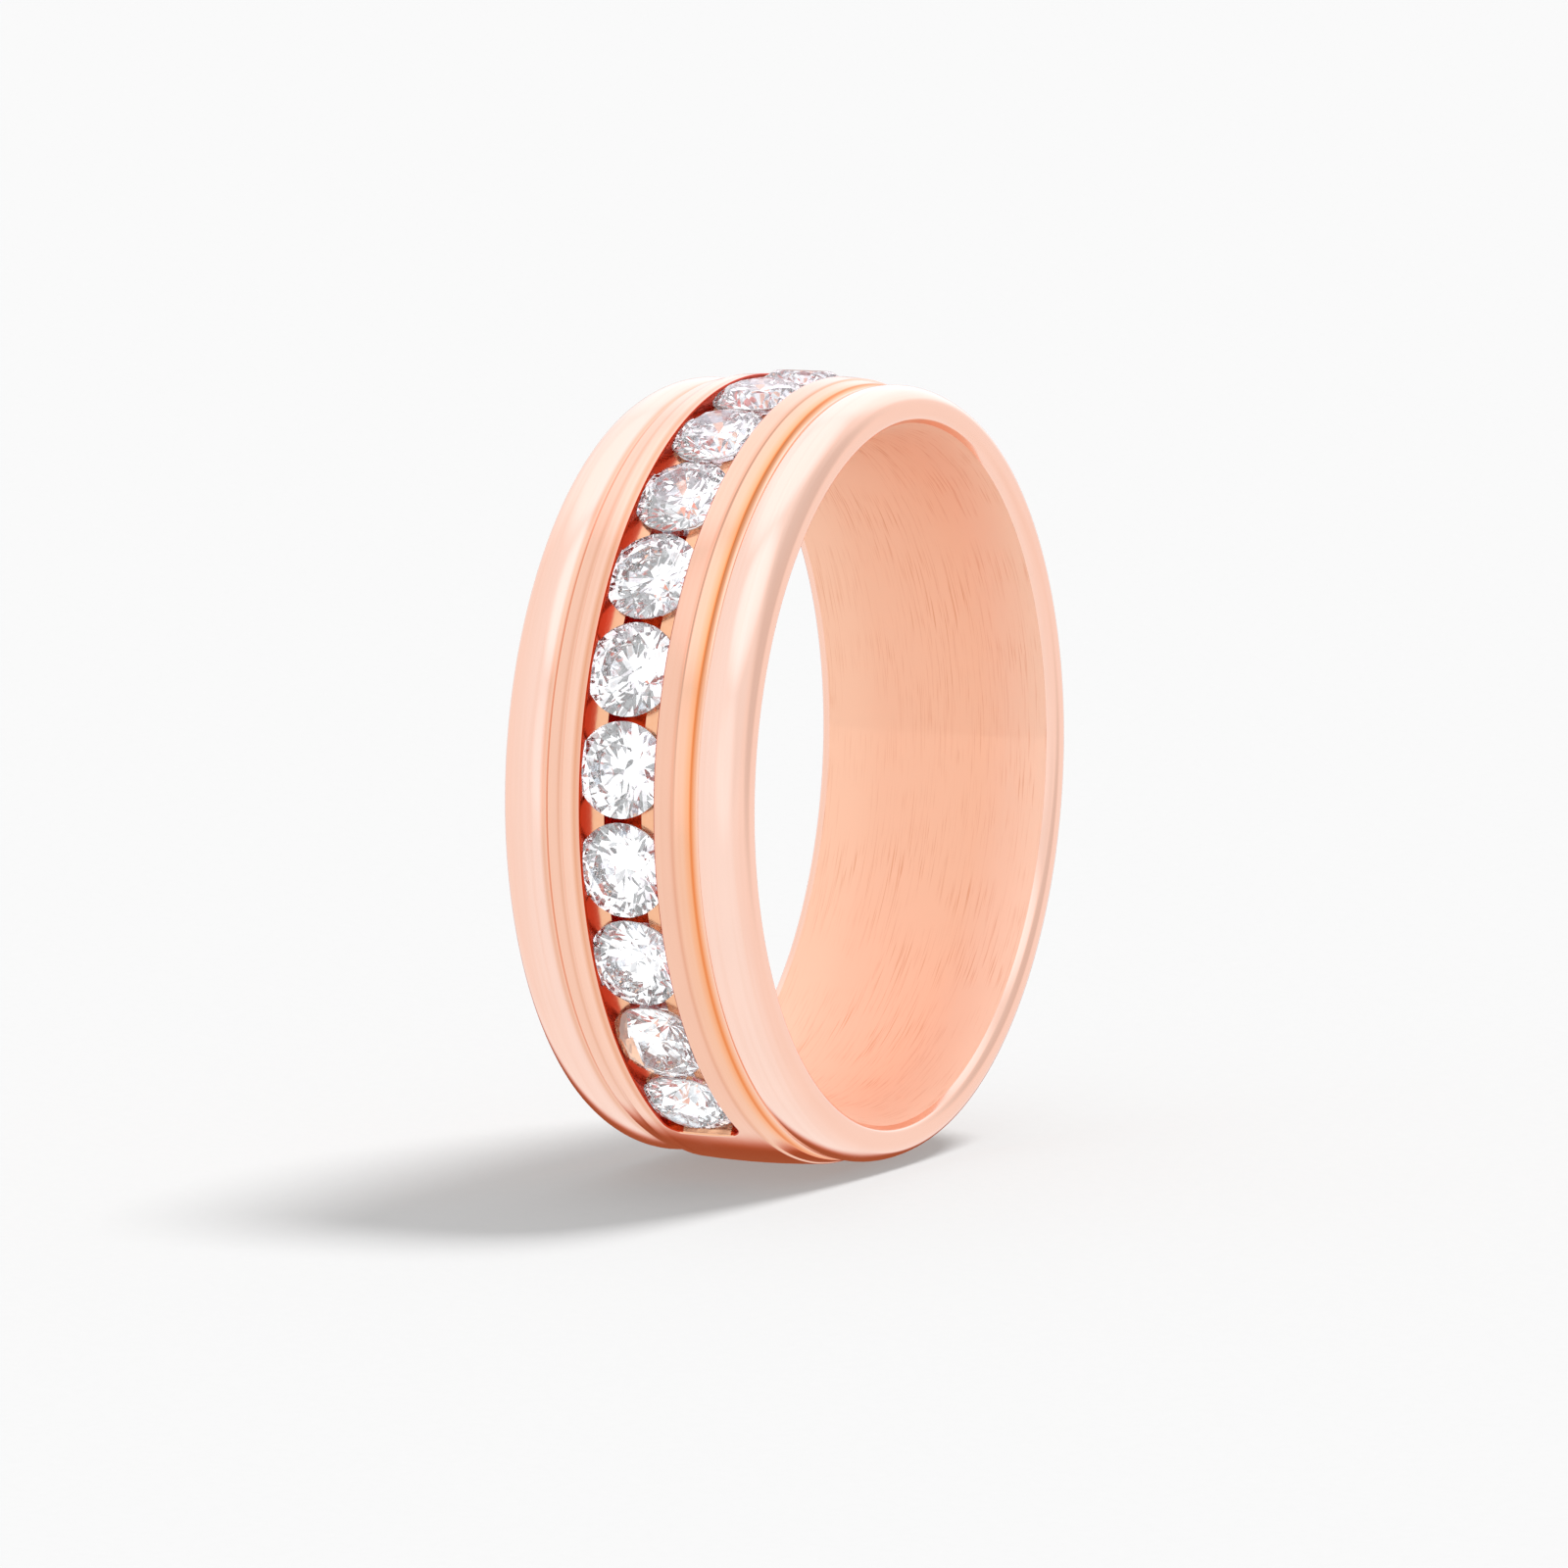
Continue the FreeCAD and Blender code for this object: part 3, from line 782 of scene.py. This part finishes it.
@dataclass
class Band:
    """The gold band: a turned section with a milled channel, a slot and the stones' seats."""

    row: StoneRow
    bore_radius: float = 9.90
    bore_flat_half: float = 1.60
    comfort_radius: float = 5.00
    mouth_radius: float = 0.25
    # Faces this near the straight bore take its finish.
    bore_reach: float = 0.70
    half_width: float = 3.91
    shoulder_radius: float = 0.40
    dome_radius: float = 1.30
    crest: tuple[float, float] = (2.95, 11.41)
    foot_offset: float = 2.44
    cove_radius: float = 0.30
    step: tuple[float, float] = (2.28, 11.42)
    ledge: tuple[float, float] = (1.81, 11.50)
    lip: tuple[float, float] = (1.77, 11.55)
    crown_radius: float = 24.0
    channel_half: float = 1.17
    channel_floor: float = 11.17
    channel_end_gap: float = 0.10
    channel_corner: float = 0.50
    channel_ease: float = 0.05
    channel_steps: int = 8
    end_steps: int = 4
    lip_sweep: tuple[float, ...] = (0.0, 14.0, 28.0, 42.0, 56.0, 70.0)
    lip_flare: float = 1.6
    side_clear: float = 0.02
    # Faces this near the floor or an end wall take the floor's finish.
    floor_reach: float = 0.01
    slot_half: float = 0.60
    slot_floor: float = 10.45
    slot_clear: float = 0.125
    slot_steps: int = 162
    # Share of a stone's radius within which the slot takes the seats' painted white; beyond it the
    # slot takes the walls' painted deep red shade.
    under_stone: float = 0.62
    azure_radius: float = 0.50
    seat_gap: float = 0.015
    cone_gap: float = 0.05
    seat_steps: int = 64
    clear_of_rim: float = 1.0
    foot_ease: float = 0.02
    step_ease: float = 0.04
    ledge_ease: float = 0.015
    lip_ease: float = 0.025
    ease_steps: int = 4
    turn_steps: int = 480
    sharp_angle: float = 30.0

    def crown_level(self, across: np.ndarray | float) -> np.ndarray | float:
        """Radius of the raised centre: a wide circle across the band through both lips."""
        centre = self.lip[1] - math.sqrt(self.crown_radius ** 2 - self.lip[0] ** 2)
        return centre + np.sqrt(self.crown_radius ** 2 - np.square(across))

    def section(self) -> np.ndarray:
        """Closed section of the band as (place across, radius).

        Formula: one half runs from the bore's middle along its straight wall, the comfort
        curve, the mouth's easing, the side face, the shoulder, the rail's dome, the cove,
        the ledge and the crease to the raised centre, and the other half mirrors it.

        Returns:
            The points in order, anticlockwise, without repeats.
        """
        mouth_x = self.half_width - self.mouth_radius
        comfort = (self.bore_flat_half, self.bore_radius + self.comfort_radius)
        fall = math.sqrt((self.comfort_radius - self.mouth_radius) ** 2 - (mouth_x - comfort[0]) ** 2)
        mouth = (mouth_x, comfort[1] - fall)
        mouth_turn = math.atan2(-fall, mouth_x - comfort[0])
        dome = (self.crest[0], self.crest[1] - self.dome_radius)
        shoulder_x = self.half_width - self.shoulder_radius
        lift = math.sqrt((self.dome_radius - self.shoulder_radius) ** 2 - (shoulder_x - dome[0]) ** 2)
        shoulder = (shoulder_x, dome[1] + lift)
        shoulder_turn = math.atan2(lift, shoulder_x - dome[0])
        foot_turn = math.acos((self.foot_offset - dome[0]) / self.dome_radius)
        foot = (self.foot_offset, dome[1] + self.dome_radius * math.sin(foot_turn))
        chord = math.dist(foot, self.step)
        rise = math.sqrt(self.cove_radius ** 2 - (chord / 2) ** 2)
        cove = ((foot[0] + self.step[0]) / 2 + rise * (self.step[1] - foot[1]) / chord,
                (foot[1] + self.step[1]) / 2 - rise * (self.step[0] - foot[0]) / chord)
        cove_start = math.atan2(foot[1] - cove[1], foot[0] - cove[0])
        cove_end = math.atan2(self.step[1] - cove[1], self.step[0] - cove[0])
        # The last number of each run is its steps: more where it curves more.
        crown = line((self.lip[0], 0.0), (0.0, 0.0), 14)
        crown[:, 1] = self.crown_level(crown[:, 0])
        runs = [
            line((0.0, self.bore_radius), (self.bore_flat_half, self.bore_radius), 3),
            arc(comfort, self.comfort_radius, -math.pi / 2, mouth_turn, 12),
            arc(mouth, self.mouth_radius, mouth_turn, 0.0, 8),
            line((self.half_width, mouth[1]), (self.half_width, shoulder[1]), 2),
            arc(shoulder, self.shoulder_radius, 0.0, shoulder_turn, 8),
            arc(dome, self.dome_radius, shoulder_turn, foot_turn, 16),
            arc(cove, self.cove_radius, cove_start, cove_end, 6),
            line(self.step, self.ledge, 3),
            line(self.ledge, self.lip, 1),
            crown,
        ]
        reaches = [0.0] * 5 + [self.foot_ease, self.step_ease, self.ledge_ease, self.lip_ease]
        half = eased_outline(runs, reaches, self.ease_steps)
        mirrored = half[-2:0:-1] * (-1, 1)
        return np.concatenate([half, mirrored])

    def grid_turns(self) -> np.ndarray:
        """Even turn angles all the way round, in radians."""
        return np.arange(self.turn_steps) * (2 * math.pi / self.turn_steps)

    def blank(self) -> bpy.types.Object:
        """Carry the section round the bore's axis to make the plain ring.

        Returns:
            The dressed ring, not yet cut.
        """
        section = self.section()
        turns = self.grid_turns()[:, None]
        points = round_the_bore(section[None, :, 0], section[None, :, 1], turns)
        faces = grid_faces(self.turn_steps, len(section), True, True)
        ring = closed_solid("band_rose_gold", points, faces.tolist())
        self.dress(ring)
        return ring

    def dress(self, ring: bpy.types.Object) -> None:
        """Give the plain ring its finishes: the finger hole's faces take the bore's.

        Args:
            ring: the plain ring.
        """
        mesh = ring.data
        finishes = (PolishedGold(), BoreGold(),
                    # Painted shade: the walls' deep red stands in for gold that light reaches only by
                    # way of other gold.
                    MilledMetal("rose_gold_wall_painted_shade", "#d2401a", "#be3412", 0.22),
                    MilledMetal("rose_gold_floor", "#fac39f", "#f6b890", 0.22),
                    # Painted light: the seats are white so the stones show white where they would
                    # mirror gold.
                    MilledMetal("seat_painted_white", "#fafcff", "#f7f9fc", 0.12))
        for finish in finishes:
            mesh.materials.append(finish.material())
        middle = face_middles(mesh)
        mouth_x = self.half_width - self.mouth_radius
        out = np.hypot(middle[:, 1], middle[:, 2])
        inside = (np.abs(middle[:, 0]) < mouth_x) & (out < self.bore_radius + self.bore_reach)
        set_zones(mesh, np.where(inside, Zone.BORE.value, Zone.POLISHED.value))

    def channel_cutter(self) -> bpy.types.Object:
        """The channel: a round-cornered trough along the row, flared a little at its lips.

        Formula: a half outline runs from the low end's middle round one side to the high
        end's middle, as places across and along the row. Each of its points is carried up
        from the floor, eased outwards along the outline's normal by a small arc at the
        lips, and taken clear of the rim; the other side mirrors it.

        The floor and the flat of each end wall take the floor's finish, and the rest
        takes the walls' painted deep red shade.

        Returns:
            The closed cutter.
        """
        turns = self.row.turns()
        level = self.row.girdle_level
        middle = (turns[0] + turns[-1]) / 2
        reach = math.asin((self.row.radius + self.channel_end_gap) / level)
        half_length = ((turns[-1] - turns[0]) / 2 + reach) * level
        corner = self.channel_corner
        inner_x, inner_s = self.channel_half - corner, half_length - corner
        corner_out = arc((0.0, 0.0), 1.0, 0.0, math.pi / 2, self.channel_steps)
        grid = self.grid_turns()
        grid = np.sort((grid - middle + math.pi) % (2 * math.pi) - math.pi) * level
        side = grid[np.abs(grid) < inner_s - self.side_clear]
        end = np.linspace(0.0, inner_x, self.end_steps, endpoint=False)
        top = np.column_stack([np.full(len(side), self.channel_half), side])
        high = corner * corner_out + (inner_x, inner_s)
        cap = np.column_stack([end[::-1], np.full(len(end), half_length)])
        path = np.concatenate([cap[::-1] * (1, -1), high[::-1] * (1, -1), top, high, cap])
        normal = np.concatenate([
            np.tile((0.0, -1.0), (len(end), 1)), corner_out[::-1] * (1, -1),
            np.tile((1.0, 0.0), (len(side), 1)), corner_out, np.tile((0.0, 1.0), (len(end), 1))])
        ease = self.channel_ease
        flare = self.lip_flare * ease
        sweep = np.radians(self.lip_sweep)
        offset = np.concatenate([[0.0], ease * (1 - np.cos(sweep)), [flare, flare]])
        rise = ease * (np.sin(sweep) - 1)
        beyond = rise[-1] + (flare - offset[-3]) / math.tan(sweep[-1])
        across = path[:, None, 0] + normal[:, None, 0] * offset
        along = path[:, None, 1] + normal[:, None, 1] * offset
        brim = self.crown_level(path[:, 0])[:, None]
        out = np.concatenate([
            np.full_like(brim, self.channel_floor), brim + rise, brim + beyond,
            brim + self.clear_of_rim], axis=1)
        turn = middle + along / level
        right = round_the_bore(across, out, turn)
        left = (right * (-1, 1, 1))[:, ::-1]
        points = np.concatenate([right, left], axis=1)
        faces = grid_faces(len(path), points.shape[1], False, True)
        cutter = closed_solid("channel_cutter", points, faces.tolist())
        place = face_middles(cutter.data)
        low = np.hypot(place[:, 1], place[:, 2]) < self.channel_floor + self.floor_reach
        along = (np.arctan2(place[:, 2], -place[:, 1]) - middle) * level
        end = np.abs(along) > half_length - self.floor_reach
        set_zones(cutter.data, np.where(low | end, Zone.FLOOR.value, Zone.WALL.value))
        return cutter

    def slot_cutter(self) -> bpy.types.Object:
        """The slot in the channel's floor: a square section carried along the row.

        It takes the seats' painted white under each stone and the walls' painted deep red shade
        between them.

        Returns:
            The closed cutter.
        """
        turns = self.row.turns()
        turn = np.linspace(turns[0], turns[-1], self.slot_steps + 1)[:, None]
        above = self.channel_floor + self.slot_clear
        across = np.array([-1, 1, 1, -1]) * self.slot_half
        out = np.array([self.slot_floor, self.slot_floor, above, above])
        points = round_the_bore(across[None], out[None], turn)
        faces = grid_faces(len(turn), 4, False, True).tolist()
        last = 4 * (len(turn) - 1)
        faces += [[0, 1, 2, 3], [last, last + 1, last + 2, last + 3]]
        cutter = closed_solid("slot_cutter", points, faces)
        middle = face_middles(cutter.data)
        away = np.arctan2(middle[:, 2], -middle[:, 1])[:, None] - turns[None]
        nearest = np.abs(away).min(axis=1) * self.channel_floor
        under = nearest < self.under_stone * self.row.radius
        set_zones(cutter.data, np.where(under, Zone.SEAT.value, Zone.WALL.value))
        return cutter

    def seat_cutters(self) -> bpy.types.Object:
        """Every stone's seat: a light hole, two cones and a short wall, turned round its axis.

        Formula: the outline of (radius from the stone's axis, distance from the bore's
        axis) is carried round the stone's axis, and that is repeated at each turn angle.

        Returns:
            All the cutters in one closed mesh.
        """
        row, gap = self.row, self.seat_gap
        wide = row.radius + gap
        cone_start = (row.culet_level - self.cone_gap
                      + (self.azure_radius / row.radius) * (row.girdle_low - row.culet_level))
        top = row.girdle_level + row.crown_part * row.diameter + gap
        inside = self.bore_radius - self.clear_of_rim
        outline = np.array([
            (0.0, inside), (self.azure_radius, inside), (self.azure_radius, cone_start),
            (wide, row.girdle_low - self.cone_gap), (wide, row.girdle_level + gap),
            (row.table_part * row.radius + gap, top), (0.0, top)])
        around = np.linspace(0, 2 * math.pi, self.seat_steps, endpoint=False)
        x = outline[:, None, 0] * np.cos(around)
        y = outline[:, None, 0] * np.sin(around)
        out = np.broadcast_to(outline[:, None, 1], x.shape)
        turn = row.turns()[:, None, None]
        points = np.stack(np.broadcast_arrays(
            x, y * np.sin(turn) - out * np.cos(turn), out * np.sin(turn) + y * np.cos(turn)), axis=-1)
        one = grid_faces(len(outline), len(around), False, True)
        starts = np.arange(len(row.nodes))[:, None, None] * x.size
        faces = (one[None] + starts).reshape(-1, 4)
        cutter = closed_solid("seat_cutters", points, faces.tolist())
        set_zones(cutter.data, np.full(len(cutter.data.polygons), Zone.SEAT.value))
        return cutter

    def cut(self, ring: bpy.types.Object, cutter: bpy.types.Object) -> None:
        """Take a cutter's volume out of the ring and leave its zones on the new faces.

        Args:
            ring: the ring.
            cutter: the closed cutter, which is used up.
        """
        for material in ring.data.materials:
            cutter.data.materials.append(material)
        tool = ring.modifiers.new(cutter.name, "BOOLEAN")
        tool.operation = "DIFFERENCE"
        tool.solver = "EXACT"
        tool.material_mode = "TRANSFER"
        tool.object = cutter
        seen = bpy.context.evaluated_depsgraph_get()
        result = bpy.data.meshes.new_from_object(ring.evaluated_get(seen))
        ring.modifiers.clear()
        ring.data = result
        bpy.data.objects.remove(cutter)

    def build(self) -> bpy.types.Object:
        """Returns:
            The band.
        """
        ring = self.blank()
        for cutter in (self.channel_cutter(), self.slot_cutter(), self.seat_cutters()):
            self.cut(ring, cutter)
        ring.data.name = ring.name
        ring.data.shade_smooth()
        ring.data.set_sharp_from_angle(angle=math.radians(self.sharp_angle))
        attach(ring, ROOT)
        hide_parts("band")
        log.info("%s has %d faces", ring.name, len(ring.data.polygons))
        return ring


# ---------------------------------------------------------------- the studio

@dataclass(frozen=True)
class LightPatch:
    """A round soft-edged part of the light tent that is brighter or darker than the rest."""

    towards: tuple[float, float, float]
    inner: float
    outer: float
    gain: float


@dataclass
class Studio:
    """A white light tent over matt paper, a soft key lamp, a fill lamp and the camera."""

    floor_size: float = 4000.0
    tent: float = 1.03
    # Bright patches come first: the brightest one wins. Then dark ones take light away.
    patches: tuple[LightPatch, ...] = (
        LightPatch((-0.25, 0.25, 0.93), 19.0, 35.0, 0.40),
        LightPatch((-0.20, 0.85, 0.46), 16.0, 32.0, 0.42),
        LightPatch((0.10, -0.56, 0.82), 14.0, 31.0, 0.40),
        LightPatch((-0.62, 0.50, 0.60), 8.0, 26.0, 0.27),
        LightPatch((0.10, -0.98, 0.12), 8.0, 26.0, 0.14),
        LightPatch((0.85, 0.20, 0.45), 25.0, 50.0, -0.22),
        LightPatch((0.40, -0.85, 0.35), 10.0, 32.0, -0.06),
        LightPatch((-0.42, 0.84, -0.35), 12.0, 25.0, -0.50),
    )
    # The ring's own warm light, thrown back by the shaded paper just under it.
    bounce: LightPatch = LightPatch((-0.42, 0.82, -0.40), 12.0, 27.0, 1.0)
    bounce_tone: str = "#dc7850"
    # The diffusers' own faint tint, which shows where they burn brightest.
    diffuser_tone: str = "#fff6fc"
    diffuser_lift: float = 0.34
    # What shows inside the stones: a bright tent with dark flags scattered over it.
    sparkle: tuple[float, float] = (1.44, 0.22)
    flag_scale: float = 1.25
    flag_edge: tuple[float, float] = (0.49, 0.61)
    backdrop: float = 0.94
    key_from: tuple[float, float, float] = (0.226, 0.464, 0.857)
    key_angle: float = 18.0
    key_strength: float = 5.8
    fill_strength: float = 3.2
    azimuth: float = 25.5
    elevation: float = 6.86
    distance: float = 425.5
    lens: float = 332.0
    aim_right: float = -0.173
    aim_up: float = -0.461
    nearest: float = 10.0
    glossy_bounces: int = 24
    transmission_bounces: int = 24
    all_bounces: int = 32

    def floor(self) -> bpy.types.Object:
        """Lay a wide sheet of paper that just touches the lowest point of the ring.

        Metal and stones don't mirror it: they mirror the tent, which goes on below.

        Returns:
            The sheet.
        """
        half = self.floor_size / 2
        level = min(CAD_BOUNDS[0].z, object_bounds()[0].z) / MM
        points = np.array([(-half, -half, level), (half, -half, level),
                           (half, half, level), (-half, half, level)])
        sheet = closed_solid("paper_sweep", points, [[0, 1, 2, 3]])
        sheet.data.materials.append(SweepPaper().material())
        sheet.visible_glossy = False
        sheet.visible_transmission = False
        sheet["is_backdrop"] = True
        return sheet

    def share(self, tree: bpy.types.NodeTree, way: bpy.types.NodeSocket,
              patch: LightPatch) -> bpy.types.NodeSocket:
        """How far a direction lies in a patch, times the patch's gain.

        Formula: a smooth step of the cosine between the direction and the patch's
        middle, from its outer edge to its inner one.

        Args:
            tree: the world's node tree.
            way: the direction's socket.
            patch: the patch.

        Returns:
            The share's socket.
        """
        nearness = add_node(tree, "ShaderNodeVectorMath", {
            0: way, 1: Vector(patch.towards).normalized()}, operation="DOT_PRODUCT")
        return add_node(tree, "ShaderNodeMapRange", {
            "Value": nearness.outputs["Value"],
            "From Min": math.cos(math.radians(patch.outer)),
            "From Max": math.cos(math.radians(patch.inner)),
            "To Max": patch.gain},
            interpolation_type="SMOOTHSTEP").outputs["Result"]

    def tent_glow(self, tree: bpy.types.NodeTree,
                  way: bpy.types.NodeSocket) -> bpy.types.NodeSocket:
        """The tent's glow by direction, as metal mirrors it.

        Formula: the largest share of the bright patches is added to the even tone, and
        so is the share of every dark one.

        Args:
            tree: the world's node tree.
            way: the direction's socket.

        Returns:
            The glow's socket.
        """
        lift = 0.0
        for patch in self.patches:
            lift = add_node(tree, "ShaderNodeMath", {0: lift, 1: self.share(tree, way, patch)},
                            operation="MAXIMUM" if patch.gain > 0 else "ADD").outputs[0]
        return add_node(tree, "ShaderNodeMath", {0: lift, 1: self.tent},
                        operation="ADD").outputs[0]

    def tent_light(self) -> None:
        """The tent, with dark flags for the stones and a plain backdrop behind the paper."""
        world = bpy.data.worlds.new("light_tent")
        world.use_nodes = True
        tree = world.node_tree
        tree.nodes.clear()
        way = add_node(tree, "ShaderNodeTexCoord").outputs["Generated"]
        flags = add_node(tree, "ShaderNodeTexNoise", {
            "Vector": way, "Scale": self.flag_scale, "Detail": 1.0})
        sparkle = add_node(tree, "ShaderNodeMapRange", {
            "Value": flags.outputs["Fac"], "From Min": self.flag_edge[0],
            "From Max": self.flag_edge[1], "To Min": self.sparkle[0],
            "To Max": self.sparkle[1]})
        rays = add_node(tree, "ShaderNodeLightPath")
        tent = self.tent_glow(tree, way)
        seen = add_node(tree, "ShaderNodeMix", {
            0: rays.outputs["Is Transmission Ray"], 2: tent,
            3: sparkle.outputs["Result"]}).outputs[0]
        plain = add_node(tree, "ShaderNodeMix", {
            0: rays.outputs["Is Camera Ray"], 2: seen, 3: self.backdrop}).outputs[0]
        warmth = add_node(tree, "ShaderNodeMath", {
            0: self.share(tree, way, self.bounce), 1: rays.outputs["Is Glossy Ray"]},
            operation="MULTIPLY").outputs[0]
        burn = add_node(tree, "ShaderNodeMapRange", {
            "Value": tent, "From Min": self.tent, "From Max": self.tent + self.diffuser_lift,
            "To Max": rays.outputs["Is Glossy Ray"]})
        white = add_node(tree, "ShaderNodeMixRGB", {
            "Fac": burn.outputs["Result"], "Color1": linear("#ffffff"),
            "Color2": linear(self.diffuser_tone)})
        tone = add_node(tree, "ShaderNodeMixRGB", {
            "Fac": warmth, "Color1": white.outputs["Color"],
            "Color2": linear(self.bounce_tone)})
        glow = add_node(tree, "ShaderNodeBackground", {
            "Color": tone.outputs["Color"], "Strength": plain})
        add_node(tree, "ShaderNodeOutputWorld", {"Surface": glow.outputs["Background"]})
        bpy.context.scene.world = world

    def lamp(self, name: str, strength: float, angle: float,
             towards: tuple[float, float, float]) -> bpy.types.Object:
        """Add a sun lamp that lights the paper and stays out of every reflection.

        Args:
            name: the lamp's name.
            strength: its strength.
            angle: its angular width in degrees.
            towards: direction to the lamp.

        Returns:
            The lamp.
        """
        data = bpy.data.lights.new(name, "SUN")
        data.energy = strength
        data.angle = math.radians(angle)
        lamp = bpy.data.objects.new(name, data)
        lamp.rotation_euler = Vector(towards).to_track_quat("Z", "Y").to_euler()
        lamp.visible_glossy = False
        lamp.visible_transmission = False
        bpy.context.scene.collection.objects.link(lamp)
        return lamp

    def lamps(self) -> None:
        """A key behind and above that throws the shadow forwards, and a shadowless fill."""
        self.lamp("key", self.key_strength, self.key_angle, self.key_from)
        fill = self.lamp("fill", self.fill_strength, 0.0, (0.0, 0.0, 1.0))
        fill.data.use_shadow = False

    def camera(self) -> bpy.types.Object:
        """Set up a long lens aimed a little beside and below the finger hole's middle.

        Returns:
            The camera.
        """
        turn, rise = math.radians(self.azimuth), math.radians(self.elevation)
        back = Vector((math.sin(turn) * math.cos(rise), -math.cos(turn) * math.cos(rise),
                       math.sin(rise)))
        right = Vector((math.cos(turn), math.sin(turn), 0.0))
        up = back.cross(right)
        lens = bpy.data.cameras.new("camera")
        lens.lens = self.lens
        lens.clip_start = self.nearest * MM
        camera = bpy.data.objects.new("camera", lens)
        place = right * self.aim_right + up * self.aim_up + back * self.distance
        camera.location = place * MM
        camera.rotation_euler = back.to_track_quat("Z", "Y").to_euler()
        bpy.context.scene.collection.objects.link(camera)
        bpy.context.scene.camera = camera
        return camera

    def build(self) -> None:
        """Set up the floor, the lights, the camera and the plain view transform."""
        self.floor()
        self.tent_light()
        self.lamps()
        self.camera()
        scene = bpy.context.scene
        scene.view_settings.view_transform = "Standard"
        scene.cycles.glossy_bounces = self.glossy_bounces
        scene.cycles.transmission_bounces = self.transmission_bounces
        scene.cycles.max_bounces = self.all_bounces
        log.info("studio ready")


def main() -> None:
    """Build the band, the stones and the studio, and report each."""
    logging.basicConfig(level=logging.INFO, format="%(message)s")
    row = StoneRow()
    band = Band(row).build()
    stones = row.build()
    Studio().build()
    log.info("%s holds %d stones", band.name, len(stones))


if __name__ == "__main__":
    main()
